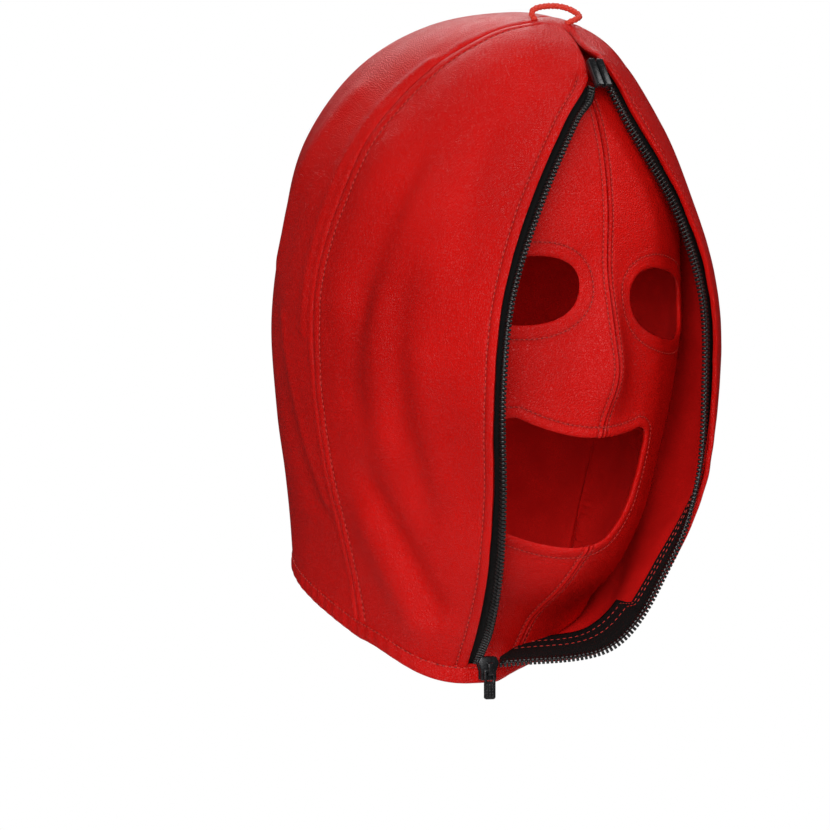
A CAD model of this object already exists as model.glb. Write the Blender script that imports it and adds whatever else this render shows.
# %% [markdown]
# # A red leather double hood
#
# This lesson dresses a sewn hood: a loose outer hood with an open front zip, over a fitted face
# mask. The measured solids are loaded first and never move. Each later cell makes one visible
# piece in the same frame, in metres, in the place of the solid that it stands for.

# %% Load the measured solids
import math

import bmesh
import bpy
import numpy as np
from mathutils import Matrix, Vector, noise
from mathutils.bvhtree import BVHTree
from mathutils.kdtree import KDTree


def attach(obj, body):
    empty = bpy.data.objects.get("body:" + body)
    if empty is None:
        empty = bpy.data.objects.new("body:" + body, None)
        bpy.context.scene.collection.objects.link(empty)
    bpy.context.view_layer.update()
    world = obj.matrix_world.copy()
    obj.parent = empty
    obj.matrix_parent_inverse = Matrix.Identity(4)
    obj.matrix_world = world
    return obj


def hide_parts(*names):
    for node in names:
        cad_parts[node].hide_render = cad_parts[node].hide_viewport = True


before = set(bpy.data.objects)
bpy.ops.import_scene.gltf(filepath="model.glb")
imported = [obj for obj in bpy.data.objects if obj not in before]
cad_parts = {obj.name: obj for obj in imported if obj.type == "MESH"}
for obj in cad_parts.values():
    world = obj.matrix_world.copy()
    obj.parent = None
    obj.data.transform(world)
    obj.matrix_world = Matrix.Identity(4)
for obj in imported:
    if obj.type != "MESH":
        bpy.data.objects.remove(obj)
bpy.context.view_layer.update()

# %% [markdown]
# ## Camera
#
# The hood is seen from the wearer's right front, level with the eye holes, through a long lens.
# A long lens far away keeps the front of the hood from looking swollen. The lens is worked out
# from how many metres the picture shows at the hood's upright axis.

# %% Place the camera
MM = 0.001
CROWN_HEIGHT = 116.5           # the frame's origin above eye level, in millimetres
PICTURE_PIXELS = 830
METRES_PER_PIXEL = 0.0004224   # at the hood's upright axis
AXIS_PIXEL = (480, 300)        # where that axis crosses eye level in the picture
VIEW_ANGLE = math.radians(-34)
VIEW_DISTANCE = 1.7
SENSOR_MM = 36

to_camera = Vector((math.sin(VIEW_ANGLE), -math.cos(VIEW_ANGLE), 0))
camera_right = Vector((math.cos(VIEW_ANGLE), math.sin(VIEW_ANGLE), 0))
upward = Vector((0, 0, 1))
eye_level = Vector((0, 0, -CROWN_HEIGHT * MM))
middle_pixel = PICTURE_PIXELS / 2
aim = eye_level + camera_right * (middle_pixel - AXIS_PIXEL[0]) * METRES_PER_PIXEL
aim -= upward * (middle_pixel - AXIS_PIXEL[1]) * METRES_PER_PIXEL

camera_data = bpy.data.cameras.new("camera")
camera = bpy.data.objects.new("camera", camera_data)
bpy.context.scene.collection.objects.link(camera)
camera.location = eye_level + to_camera * VIEW_DISTANCE
camera.rotation_euler = (aim - camera.location).to_track_quat("-Z", "Y").to_euler()
camera_data.sensor_width = SENSOR_MM
camera_data.lens = SENSOR_MM * VIEW_DISTANCE / (PICTURE_PIXELS * METRES_PER_PIXEL)
bpy.context.scene.camera = camera
print("lens:", round(camera_data.lens, 1), "mm")

# %% [markdown]
# ## Curves through hand-set points
#
# A hood is cut from few pattern pieces, so a few hand-set sections are enough to describe it. A
# smooth curve through each column of the section table gives a place at any row in between.
# The curve spaces its knots by the square root of their distance, which keeps it from
# overshooting where two rows are close together.

# %% Curve helpers


def in_frame(points):
    """Millimetres measured from eye level, as metres in the frame."""
    return (np.asarray(points, float) - (0, 0, CROWN_HEIGHT)) * MM


def from_frame(point):
    """The reverse, for one point."""
    return np.array(point) / MM + (0, 0, CROWN_HEIGHT)


def unit(vectors):
    return vectors / np.linalg.norm(vectors, axis=-1, keepdims=True)


def smooth_column(points):
    """A curve through points, read at row numbers that may lie between them."""
    knots = np.array(points, float)
    before = 2 * knots[0] - knots[1]
    after = 2 * knots[-1] - knots[-2]
    knots = np.vstack([before, knots, after])
    gaps = np.sqrt(np.linalg.norm(np.diff(knots, axis=0), axis=1))
    last = len(points) - 1

    def at(rows):
        rows = np.clip(np.asarray(rows, float), 0, last)
        k = np.minimum(rows.astype(int), last - 1)
        x0, x1, x2, x3 = (knots[k + n] for n in range(4))
        d0, d1, d2 = (gaps[k + n][..., None] for n in range(3))
        leave = ((x1 - x0) / d0 - (x2 - x0) / (d0 + d1) + (x2 - x1) / d1) * d1
        arrive = ((x2 - x1) / d1 - (x3 - x1) / (d1 + d2) + (x3 - x2) / d2) * d1
        w = (rows - k)[..., None]
        square = 3 * (x2 - x1) - 2 * leave - arrive
        cube = 2 * (x1 - x2) + leave + arrive
        return x1 + leave * w + square * w**2 + cube * w**3

    return at


def number_column(values):
    """The same curve for one column of plain numbers."""
    at = smooth_column([(k, value, 0) for k, value in enumerate(values)])
    return lambda rows: at(rows)[..., 1]


def lengths_along(line):
    """Distance gone along a line at each of its points."""
    return np.append(0, np.cumsum(np.linalg.norm(np.diff(line, axis=0), axis=1)))


def walk(line, step):
    """Points at even steps along a line."""
    gone = lengths_along(line)
    stops = np.linspace(0, gone[-1], max(2, round(gone[-1] / step) + 1))
    return np.stack([np.interp(stops, gone, line[:, k]) for k in range(3)], axis=1)


print("curve helpers are ready")

# %% [markdown]
# A finished piece is an object at the frame's origin whose mesh already lies in its place. It
# rides on one of the frame's bodies, so that it moves when the body does, and it hides the solid
# that it stands for. Its material slot says what it is made of in the part's record.

# %% Piece helpers


def new_piece(name, bm, *materials):
    """A finished bmesh as an object at the origin, with its place in its mesh."""
    mesh = bpy.data.meshes.new(name)
    bm.to_mesh(mesh)
    bm.free()
    for material in materials:
        mesh.materials.append(material)
    mesh.shade_smooth()
    piece = bpy.data.objects.new(name, mesh)
    bpy.context.scene.collection.objects.link(piece)
    return piece


def dress(piece, node=None, body="hood"):
    """Sets a piece on a body, in the place of a solid if it stands for one, and counts it."""
    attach(piece, body)
    if node is not None:
        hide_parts(node)
    depsgraph = bpy.context.evaluated_depsgraph_get()
    mesh = piece.evaluated_get(depsgraph).to_mesh()
    mesh.calc_loop_triangles()
    print(piece.name, "triangles:", len(mesh.loop_triangles))
    piece.evaluated_get(depsgraph).to_mesh_clear()


print("piece helpers are ready")

# %% [markdown]
# ## Finishes
#
# The outer leather is a soft red nappa: fine pebbles about a millimetre across, a few soft
# creases, and a low sheen that is brighter where the skin is stretched. The pebbles come from
# Voronoi cells and the creases from noise, both read in Object coordinates, so that the grain
# keeps one size on every panel. A "groove" attribute, painted where stitches pull the leather
# in, darkens the colour there.

# %% Material helpers
PRESSED_TONE = 0.45            # of the deep red, at the bottom of a groove


def start_material(name):
    material = bpy.data.materials.new(name)
    material.use_nodes = True
    shader = material.node_tree.nodes["Principled BSDF"]
    return material, material.node_tree, shader


def add_node(tree, kind, inputs=None, **settings):
    node = tree.nodes.new("ShaderNode" + kind)
    for setting, value in settings.items():
        setattr(node, setting, value)
    for socket, value in (inputs or {}).items():
        if isinstance(value, bpy.types.NodeSocket):
            tree.links.new(value, node.inputs[socket])
        else:
            node.inputs[socket].default_value = value
    return node


def object_coordinates(tree, scale=(1, 1, 1)):
    source = add_node(tree, "TexCoord").outputs["Object"]
    return add_node(tree, "Mapping", {"Vector": source, "Scale": scale}).outputs["Vector"]


def remap(tree, value, low, high, to_low=0.0, to_high=1.0):
    inputs = {"Value": value, "From Min": low, "From Max": high, "To Min": to_low, "To Max": to_high}
    return add_node(tree, "MapRange", inputs, clamp=True).outputs["Result"]


def blend_colours(tree, share, first, second):
    node = add_node(tree, "Mix", data_type="RGBA")
    tree.links.new(share, node.inputs["Factor"])
    for socket, value in ((node.inputs[6], first), (node.inputs[7], second)):
        if isinstance(value, bpy.types.NodeSocket):
            tree.links.new(value, socket)
        else:
            socket.default_value = (*value, 1)
    return node.outputs[2]


def add_bump(tree, height, depth, strength=1.0, normal=None):
    inputs = {"Height": height, "Distance": depth, "Strength": strength}
    if normal is not None:
        inputs["Normal"] = normal
    return add_node(tree, "Bump", inputs).outputs["Normal"]


def red_leather(name, colour, deep, shine):
    """Pebbled red leather. colour and deep are its light and dark reds, shine its roughness."""
    material, tree, shader = start_material(name)
    place = object_coordinates(tree)
    cells = add_node(tree, "TexVoronoi", {"Vector": place, "Scale": 1050.0}, feature="DISTANCE_TO_EDGE")
    pebbles = remap(tree, cells.outputs["Distance"], 0.0, 0.28)
    fine = add_node(tree, "TexNoise", {"Vector": place, "Scale": 2600.0, "Detail": 3.0})
    creases = add_node(tree, "TexNoise", {"Vector": place, "Scale": 190.0, "Detail": 6.0, "Roughness": 0.62})
    drift = add_node(tree, "TexNoise", {"Vector": place, "Scale": 16.0, "Detail": 3.0})
    normal = add_bump(tree, creases.outputs["Fac"], depth=0.0006, strength=0.35)
    normal = add_bump(tree, pebbles, depth=0.00018, strength=0.85, normal=normal)
    normal = add_bump(tree, fine.outputs["Fac"], depth=0.00010, strength=0.6, normal=normal)
    tree.links.new(normal, shader.inputs["Normal"])
    mottled = blend_colours(tree, remap(tree, drift.outputs["Fac"], 0.3, 0.7), deep, colour)
    groove = add_node(tree, "Attribute", attribute_name="groove").outputs["Fac"]
    pressed = tuple(PRESSED_TONE * part for part in deep)
    tree.links.new(blend_colours(tree, groove, mottled, pressed), shader.inputs["Base Color"])
    gloss = remap(tree, creases.outputs["Fac"], 0.3, 0.7, shine - 0.05, shine + 0.07)
    tree.links.new(gloss, shader.inputs["Roughness"])
    shader.inputs["Specular IOR Level"].default_value = 0.14
    return material


def lining_suede(name, colour, deep):
    """The leather's napped reverse, which shows inside the open hood."""
    material, tree, shader = start_material(name)
    place = object_coordinates(tree)
    nap = add_node(tree, "TexNoise", {"Vector": place, "Scale": 1700.0, "Detail": 4.0})
    cloud = add_node(tree, "TexNoise", {"Vector": place, "Scale": 90.0, "Detail": 4.0})
    normal = add_bump(tree, nap.outputs["Fac"], depth=0.0003, strength=0.6)
    tree.links.new(normal, shader.inputs["Normal"])
    share = remap(tree, cloud.outputs["Fac"], 0.3, 0.7)
    speckle = blend_colours(tree, remap(tree, nap.outputs["Fac"], 0.35, 0.7), deep, colour)
    tree.links.new(blend_colours(tree, share, deep, speckle), shader.inputs["Base Color"])
    shader.inputs["Roughness"].default_value = 0.9
    shader.inputs["Specular IOR Level"].default_value = 0.08
    return material


def sewing_thread(name, colour, deep):
    material, tree, shader = start_material(name)
    twist = add_node(tree, "TexNoise", {"Vector": object_coordinates(tree), "Scale": 3800.0, "Detail": 2.0})
    tree.links.new(blend_colours(tree, twist.outputs["Fac"], deep, colour), shader.inputs["Base Color"])
    normal = add_bump(tree, twist.outputs["Fac"], depth=0.0001, strength=0.6)
    tree.links.new(normal, shader.inputs["Normal"])
    shader.inputs["Roughness"].default_value = 0.55
    return material


print("material helpers are ready")

# %% [markdown]
# The zip has three finishes of its own: a woven tape, moulded teeth and a lacquered slider. The
# tape's herringbone follows the strip, so it reads the strip's UV map, which is laid out in
# metres. The teeth and the slider are smooth, and get only a slight unevenness of their gloss.

# %% Zip and cord materials
TAPE_RIB = 0.0016              # metres across one slant of the herringbone
TAPE_YARN = 0.0007             # metres along the tape from yarn to yarn
WORN_TONE = 1.9                # of a black's own tone, in its lighter patches


def woven_tape(name, colour, light):
    material, tree, shader = start_material(name)
    place = add_node(tree, "UVMap").outputs["UV"]
    split = add_node(tree, "SeparateXYZ", {"Vector": place})
    ribs = add_node(tree, "Math", {0: split.outputs["X"], 1: TAPE_RIB}, operation="PINGPONG").outputs[0]
    slant = add_node(tree, "Math", {0: split.outputs["Y"], 1: ribs}, operation="ADD").outputs[0]
    slope = add_node(tree, "Math", {0: slant, 1: 2 * math.pi / TAPE_YARN}, operation="MULTIPLY").outputs[0]
    wave = add_node(tree, "Math", {0: slope}, operation="SINE").outputs[0]
    threads = remap(tree, wave, -1.0, 1.0)
    fuzz = add_node(tree, "TexNoise", {"Vector": object_coordinates(tree), "Scale": 2400.0, "Detail": 3.0})
    normal = add_bump(tree, threads, depth=0.00022, strength=0.8)
    normal = add_bump(tree, fuzz.outputs["Fac"], depth=0.0002, strength=0.35, normal=normal)
    tree.links.new(normal, shader.inputs["Normal"])
    tree.links.new(blend_colours(tree, threads, colour, light), shader.inputs["Base Color"])
    shader.inputs["Roughness"].default_value = 0.82
    shader.inputs["Specular IOR Level"].default_value = 0.12
    return material


def smooth_black(name, colour, low_gloss, high_gloss, metal):
    material, tree, shader = start_material(name)
    patches = add_node(tree, "TexNoise", {"Vector": object_coordinates(tree), "Scale": 700.0, "Detail": 3.0})
    gloss = remap(tree, patches.outputs["Fac"], 0.3, 0.7, low_gloss, high_gloss)
    tree.links.new(gloss, shader.inputs["Roughness"])
    tone = tuple(WORN_TONE * part for part in colour)
    tree.links.new(blend_colours(tree, patches.outputs["Fac"], colour, tone), shader.inputs["Base Color"])
    normal = add_bump(tree, patches.outputs["Fac"], depth=0.00005, strength=0.3)
    tree.links.new(normal, shader.inputs["Normal"])
    shader.inputs["Metallic"].default_value = metal
    return material


outer_leather = red_leather("outer_leather", (0.62, 0.0045, 0.003), (0.50, 0.003, 0.002), 0.34)
mask_leather = red_leather("mask_leather", (0.66, 0.006, 0.004), (0.55, 0.004, 0.003), 0.36)
suede = lining_suede("suede_lining", (0.84, 0.012, 0.010), (0.60, 0.006, 0.005))
red_thread = sewing_thread("red_thread", (0.72, 0.035, 0.022), (0.42, 0.008, 0.005))
needle_hole = sewing_thread("needle_hole", (0.27, 0.003, 0.002), (0.17, 0.002, 0.001))
cord_fibre = sewing_thread("cord_fibre", (0.80, 0.055, 0.02), (0.46, 0.010, 0.006))
tape_cloth = woven_tape("tape_cloth", (0.004, 0.004, 0.004), (0.013, 0.012, 0.012))
tooth_black = smooth_black("tooth_black", (0.004, 0.004, 0.004), 0.26, 0.44, 0.0)
lacquer = smooth_black("black_lacquer", (0.010, 0.010, 0.011), 0.18, 0.34, 0.35)
print("materials:", len(bpy.data.materials))

# %% [markdown]
# ## Grids and tubes
#
# Panels, tapes, cords and the hem all start as one flat bmesh grid. Its vertices are moved to
# places that are worked out for each row and column. A tube is such a grid with its two long
# edges welded together and its ends filled. Small hard pieces are made in millimetres about
# their own origin, and one matrix sets them in place.

# %% Grid and tube helpers
WELD_DISTANCE = 1e-7           # metres


def shaped_grid(points, closed_across=False, uv=None, inside=None):
    """A grid whose vertices are moved to points[row, column], given in millimetres.

    closed_across welds the first and last column. inside is a point that the faces turn away
    from. uv gives each vertex a place on the strip, in millimetres.
    """
    rows, columns = points.shape[:2]
    bm = bmesh.new()
    bmesh.ops.create_grid(bm, x_segments=columns - 1, y_segments=rows - 1, size=1.0)
    placed = in_frame(points)
    cell = {}
    for vert in bm.verts:
        i = round((vert.co.x + 1) / 2 * (columns - 1))
        j = round((vert.co.y + 1) / 2 * (rows - 1))
        cell[vert] = (j, i)
        vert.co = placed[j, i]
    if uv is not None:
        layer = bm.loops.layers.uv.new("UVMap")
        for face in bm.faces:
            for loop in face.loops:
                loop[layer].uv = uv[cell[loop.vert]] * MM
    if closed_across:
        bmesh.ops.remove_doubles(bm, verts=bm.verts[:], dist=WELD_DISTANCE)
        bmesh.ops.recalc_face_normals(bm, faces=bm.faces[:])
    if inside is not None:
        bm.normal_update()
        centre = Vector(in_frame(inside))
        facing = sum((f.calc_center_median() - centre).dot(f.normal) * f.calc_area() for f in bm.faces)
        if facing < 0:
            bmesh.ops.reverse_faces(bm, faces=bm.faces[:])
    return bm


def steady_frames(line):
    """Two directions square to a line at each point, carried along it without twist."""
    along = unit(np.gradient(line, axis=0))
    side = unit(np.cross(along[0], (0, 0, 1.0)))
    sides = []
    for direction in along:
        side = side - direction * side.dot(direction)
        side = side / np.linalg.norm(side)
        sides.append(side)
    return np.array(sides), np.cross(along, sides)


def close_ends(bm):
    bmesh.ops.holes_fill(bm, edges=[edge for edge in bm.edges if edge.is_boundary])
    bmesh.ops.recalc_face_normals(bm, faces=bm.faces[:])


def closed_tube(line, radius, sides):
    """A welded tube round a line, with capped ends."""
    over, across = steady_frames(line)
    angle = np.linspace(0, 2 * math.pi, sides + 1)
    ring = np.cos(angle)[None, :, None] * over[:, None] + np.sin(angle)[None, :, None] * across[:, None]
    bm = shaped_grid(line[:, None] + ring * radius, closed_across=True)
    close_ends(bm)
    return bm


def add_bmesh(target, source):
    """Puts a bmesh into another one."""
    carrier = bpy.data.meshes.new("carrier")
    source.to_mesh(carrier)
    source.free()
    target.from_mesh(carrier)
    bpy.data.meshes.remove(carrier)


def set_in_place(bm, at, turn):
    """Moves a piece made in millimetres about its own origin to its place in the frame."""
    place = Matrix.Translation(Vector(in_frame(at))) @ turn @ Matrix.Scale(MM, 4)
    bmesh.ops.transform(bm, matrix=place, verts=bm.verts[:])


def search_tree(points):
    """A tree that finds the number of the point nearest to a place."""
    tree = KDTree(len(points))
    for k, point in enumerate(points):
        tree.insert(point, k)
    tree.balance()
    return tree


print("grid and tube helpers are ready")

# %% [markdown]
# ## Cord loop at the peak
#
# A short braided cord is caught in the seams at the peak and stands up as a loop, to hang the
# hood by. A plain tube would look like plastic, so eight strands are laid round its centre line,
# four each way, and each strand swings out and in as it passes over and under the others.

# %% Braid the cord loop
LOOP_ROUTE = [
    (-3.4, -51.6, 111.6), (-5.4, -51.0, 113.4), (-7.6, -50.6, 115.6), (-8.6, -50.4, 117.5),
    (-7.4, -50.5, 119.1), (-4.6, -51.0, 120.1), (-1.0, -51.8, 120.6), (2.6, -53.0, 120.6),
    (5.8, -54.6, 119.9), (8.0, -56.7, 118.5), (8.7, -59.0, 117.0), (7.8, -60.9, 115.8),
    (5.7, -61.4, 114.8), (3.5, -60.3, 113.7), (2.0, -58.4, 112.3),
]
CORD_DIAMETER = 2.7
STRAND_DIAMETER = 0.95
STRANDS_EACH_WAY = 4
BRAID_PITCH = 7.5              # millimetres of cord for one full turn of a strand
STRAND_SIDES = 6
CORD_STEP = 0.28               # between two rings of a strand
WEAVE_SWING = 0.14             # how far a strand moves in and out
ROUTE_STEPS = 400

route = smooth_column(LOOP_ROUTE)(np.linspace(0, len(LOOP_ROUTE) - 1, ROUTE_STEPS))
cord_line = walk(route, CORD_STEP)
loop_bm = bmesh.new()
over, across = steady_frames(cord_line)
turns = 2 * math.pi * lengths_along(cord_line) / BRAID_PITCH
for way in (-1, 1):
    for k in range(STRANDS_EACH_WAY):
        angle = way * turns + 2 * math.pi * k / STRANDS_EACH_WAY
        weave = way * np.cos(STRANDS_EACH_WAY * turns + math.pi * k)
        reach = (CORD_DIAMETER - STRAND_DIAMETER) / 2 - WEAVE_SWING + WEAVE_SWING * weave
        offset = np.cos(angle)[:, None] * over + np.sin(angle)[:, None] * across
        strand = cord_line + offset * reach[:, None]
        add_bmesh(loop_bm, closed_tube(strand, STRAND_DIAMETER / 2, STRAND_SIDES))
cord_loop = new_piece("cord_loop", loop_bm, cord_fibre)
dress(cord_loop, "hang_loop")

# %% [markdown]
# ## The sections of the outer hood
#
# Each row of the table is one section through the hood, from the peak down to the neck hem, in
# millimetres from eye level. A section runs from the centre of the back panel to a side seam,
# and from there to the free edge of a front panel along the open zip. The turn is the angle at
# which the panel arrives at that edge, and the curl the angle at which the zip's tape leaves it.
# These are the sections of the measured solids, so a panel shaped on them lies where its solid
# lies. Only the rise is new: it lifts the lower left edge a little, as it hangs in the photo.

# %% Section table
SECTIONS = [
    dict(seam_right=(0, -57, 115), seam_left=(0, -57, 115), spine=(0, -56, 115.5), square=2,
         edge_right=(-0.4, -58, 115), edge_left=(0.4, -58, 115), turn_right=80, turn_left=80, dip=0.1,
         curl_right=0, curl_left=0),
    dict(seam_right=(-22, -46, 110), seam_left=(22, -46, 110), spine=(0, -26, 119.5), square=2.05,
         edge_right=(-0.6, -73, 103.5), edge_left=(0.6, -73, 103.5), turn_right=80, turn_left=80, dip=0.2,
         curl_right=0, curl_left=0),
    dict(seam_right=(-43, -31, 96), seam_left=(43, -31, 96), spine=(0, 9, 118), square=2.1,
         edge_right=(-4, -84, 90), edge_left=(4.5, -81, 98), turn_right=68, turn_left=64, dip=0.35,
         curl_right=0, curl_left=0),
    dict(seam_right=(-60, -15, 73), seam_left=(60, -15, 73), spine=(0, 44, 105), square=2.25,
         edge_right=(-20, -91, 72), edge_left=(17, -89.5, 73), turn_right=46, turn_left=68, dip=0.5,
         curl_right=-50, curl_left=17),
    dict(seam_right=(-71, -2, 42), seam_left=(71, -2, 42), spine=(0, 74, 79), square=2.28,
         edge_right=(-42.5, -97, 36), edge_left=(39, -93, 38), turn_right=38, turn_left=54, dip=0.7,
         curl_right=-46, curl_left=34),
    dict(seam_right=(-77, 7, 6), seam_left=(77, 7, 6), spine=(0, 91, 42), square=2.1,
         edge_right=(-56, -99, 0), edge_left=(51, -95, 2), turn_right=25, turn_left=52, dip=0.9,
         curl_right=-45, curl_left=20),
    dict(seam_right=(-76, 10, -30), seam_left=(76, 10, -30), spine=(0, 96, 2), square=2.4,
         edge_right=(-59.6, -98, -38), edge_left=(53, -94, -36), turn_right=18, turn_left=50, dip=1,
         curl_right=-40, curl_left=14),
    dict(seam_right=(-71, 10, -66), seam_left=(68, 10, -66), spine=(-1, 95, -38), square=2.55,
         edge_right=(-54.6, -90, -78), edge_left=(49.5, -92, -76), turn_right=16, turn_left=36, dip=1,
         curl_right=-30, curl_left=10),
    dict(seam_right=(-65, 8, -93), seam_left=(59, 8, -92), spine=(-3, 94, -68), square=2.65,
         edge_right=(-47.6, -76, -110), edge_left=(36.5, -87, -108), turn_right=22, turn_left=10, dip=1,
         curl_right=-24, curl_left=0),
    dict(seam_right=(-61, 5, -115), seam_left=(52, 5, -113), spine=(-5, 94, -88), square=2.75,
         edge_right=(-42, -61, -132), edge_left=(14, -75.5, -142), turn_right=36, turn_left=12, dip=1,
         curl_right=-24, curl_left=-14),
    dict(seam_right=(-59, 3, -133.5), seam_left=(48, 3, -131), spine=(-7, 94, -103), square=2.8,
         edge_right=(-36, -44, -150), edge_left=(-23, -47, -150), turn_right=66, turn_left=62, dip=0.4,
         curl_right=-10, curl_left=-14),
]
HEM_ROW = len(SECTIONS) - 1
PANEL_TOP_ROW = 0.30
ZIP_TOP_ROW = 2.1
RISE = {"right": (0.0, 0.0, 0.0), "left": (0.0, 0.15, 0.25)}  # slope at the edge, in the last rows
ZIP_END_ROW = {"right": 10.0, "left": 9.98}
PANEL_FULLNESS = 0.41          # how far a front section's handles reach, as a share of its chord
OUTER_LEATHER = 1.8
MASK_LEATHER = 1.5
GAP = 0.35                     # left between two layers


def read_column(name):
    return [row[name] for row in SECTIONS]


spine_at = smooth_column(read_column("spine"))
dip_at = number_column(read_column("dip"))
square_at = number_column(read_column("square"))
SIDES = {
    name: dict(
        sign=sign,
        seam=smooth_column(read_column("seam_" + name)),
        edge=smooth_column(read_column("edge_" + name)),
        turn=number_column(read_column("turn_" + name)),
        curl=number_column(read_column("curl_" + name)),
        rise=number_column([0.0] * (len(SECTIONS) - 3) + list(RISE[name])),
    )
    for name, sign in (("right", -1), ("left", 1))
}
print("sections:", len(SECTIONS))

# %% [markdown]
# Worn leather has soft folds. Each is a ridge or hollow from one place on a panel to another. The
# value s runs from the side seam (0) to the zip edge (1), or across the back from the right seam
# (-1) to the left seam (1).

# %% Fold table
FOLDS = {
    "right": [
        dict(s=0.14, row=3.3, to_s=0.12, to_row=4.9, width=10, height=1.5),
        dict(s=0.37, row=3.5, to_s=0.30, to_row=5.0, width=9, height=-1.7),
        dict(s=0.70, row=3.2, to_s=0.82, to_row=4.6, width=8, height=-1.3),
        dict(s=0.27, row=4.9, to_s=0.25, to_row=6.0, width=8, height=-1.5),
        dict(s=0.40, row=5.0, to_s=0.42, to_row=6.4, width=8, height=1.3),
        dict(s=0.53, row=4.9, to_s=0.55, to_row=6.3, width=8, height=-1.4),
        dict(s=0.66, row=5.6, to_s=0.74, to_row=6.8, width=8, height=1.4),
        dict(s=0.62, row=6.7, to_s=0.68, to_row=7.2, width=9, height=-1.2),
        dict(s=0.24, row=7.8, to_s=0.58, to_row=9.1, width=13, height=1.8),
        dict(s=0.30, row=7.1, to_s=0.72, to_row=8.7, width=10, height=-3.0),
    ],
    "left": [
        dict(s=0.55, row=4.8, to_s=0.5, to_row=7.0, width=14, height=-2.2),
        dict(s=0.30, row=7.4, to_s=0.62, to_row=8.8, width=12, height=1.6),
    ],
    "back": [
        dict(s=-0.94, row=2.0, to_s=-0.94, to_row=5.6, width=2.6, height=0.8),
        dict(s=-0.74, row=3.0, to_s=-0.66, to_row=5.2, width=5, height=1.2),
        dict(s=-0.78, row=5.7, to_s=-0.93, to_row=7.75, width=3, height=0.9),
        dict(s=-0.70, row=5.8, to_s=-0.86, to_row=7.9, width=8, height=-1.2),
        dict(s=0.72, row=5.6, to_s=0.84, to_row=8.0, width=9, height=1.4),
    ],
}
FOLD_S_LENGTH = 100            # millimetres that one unit of s stands for in a fold
FOLD_ROW_LENGTH = 30           # millimetres that one row stands for in a fold
print("folds:", sum(len(folds) for folds in FOLDS.values()))

# %% [markdown]
# A front section is one cubic curve: it leaves the side seam in the direction in which the back
# panel arrives there, and turns in at the zip edge by the angle in the table. A back section is
# a quarter of a superellipse on each side of the spine.

# %% Panel surfaces


def leave_seam(side, rows):
    """The direction in which a front panel leaves its side seam."""
    seam, spine = side["seam"](rows), spine_at(rows)
    fall = dip_at(rows) * (seam[:, 2] - spine[:, 2])
    return unit(np.stack([np.zeros(len(rows)), seam[:, 1] - spine[:, 1], fall], axis=1))


def front_points(side, s, rows):
    """Places on a front panel for a table of s values, one line of it for each row."""
    seam, edge = side["seam"](rows), side["edge"](rows)
    handle = PANEL_FULLNESS * np.linalg.norm(edge - seam, axis=1, keepdims=True)
    turn = np.radians(side["turn"](rows))
    arrive = np.stack([-side["sign"] * np.sin(turn), -np.cos(turn), -side["rise"](rows)], axis=1)
    corners = (seam, seam + leave_seam(side, rows) * handle, edge - arrive * handle, edge)
    t = s[..., None]
    shares = ((1 - t) ** 3, 3 * t * (1 - t) ** 2, 3 * t * t * (1 - t), t**3)
    return sum(share * corner[:, None] for share, corner in zip(shares, corners))


def bend_to_middle(side_points, middle, share, power):
    """A quarter superellipse from a side point (share 0) round to a middle point (share 1)."""
    angle = share * math.pi / 2
    across, along = np.cos(angle), np.sin(angle)
    reach = (across**power + along**power) ** (-1 / power)
    across, along = across * reach, along * reach
    x = middle[..., 0] + (side_points[..., 0] - middle[..., 0]) * across
    y = side_points[..., 1] + (middle[..., 1] - side_points[..., 1]) * along
    z = side_points[..., 2] + (middle[..., 2] - side_points[..., 2]) * along
    return np.stack([x, y, z], axis=-1)


def back_points(s, rows):
    """Places on the back panel for a table of s values."""
    seams = [SIDES[name]["seam"](rows)[:, None] for name in ("right", "left")]
    seam = np.where(s[..., None] < 0, seams[0], seams[1])
    middle = np.broadcast_to(spine_at(rows)[:, None], seam.shape)
    return bend_to_middle(seam, middle, 1 - np.abs(s), square_at(rows)[:, None])


def fold_height(folds, s, rows):
    """Height of the folds at a table of s values, one line of it for each row."""
    scale = np.array([FOLD_S_LENGTH, FOLD_ROW_LENGTH])
    place = np.stack([s, np.broadcast_to(rows[:, None], s.shape)], axis=-1) * scale
    total = np.zeros(s.shape)
    for fold in folds:
        start = np.array([fold["s"], fold["row"]]) * scale
        run = np.array([fold["to_s"], fold["to_row"]]) * scale - start
        share = np.clip((place - start) @ run / (run @ run), 0, 1)
        away = np.linalg.norm(place - start - share[..., None] * run, axis=-1) / fold["width"]
        total += fold["height"] * np.exp(-away * away)
    return total


print("panel surfaces are ready")

# %% [markdown]
# Columns of a panel's grid are set by distance, close together near seams and edges. For that
# each section is traced first and measured.

# %% Spacing helpers
COLUMN_TRIES = 241             # points in which a section is traced to measure it
BAND_LIMIT = 0.38              # the widest share of a short row that one band may take
NOISE_SHIFT = (17.3, 5.1, 9.7)  # from one seed's noise to the next


def surface_normals(points):
    """Unit normals of a grid of points, turned away from the middle of the head."""
    normals = unit(np.cross(np.gradient(points, axis=1), np.gradient(points, axis=0)))
    j, i = points.shape[0] // 2, points.shape[1] // 2
    outward = points[j, i, :2] @ normals[j, i, :2]
    return normals if outward > 0 else -normals


def plan_columns(length, band, band_steps, middle_steps):
    """Distances across each row: close together near both ends, wider apart in the middle."""
    length = length[:, None]
    band = np.minimum(band, BAND_LIMIT * length)
    near = band * np.linspace(0, 1, band_steps + 1)
    middle = band + (length - 2 * band) * np.linspace(0, 1, middle_steps + 1)[1:-1]
    return np.hstack([near, middle, length - near[:, ::-1]])


def lengths_across(points):
    """Distance gone along each row of a grid of points."""
    steps = np.linalg.norm(np.diff(points, axis=1), axis=2)
    return np.hstack([np.zeros((len(points), 1)), np.cumsum(steps, axis=1)])


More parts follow.
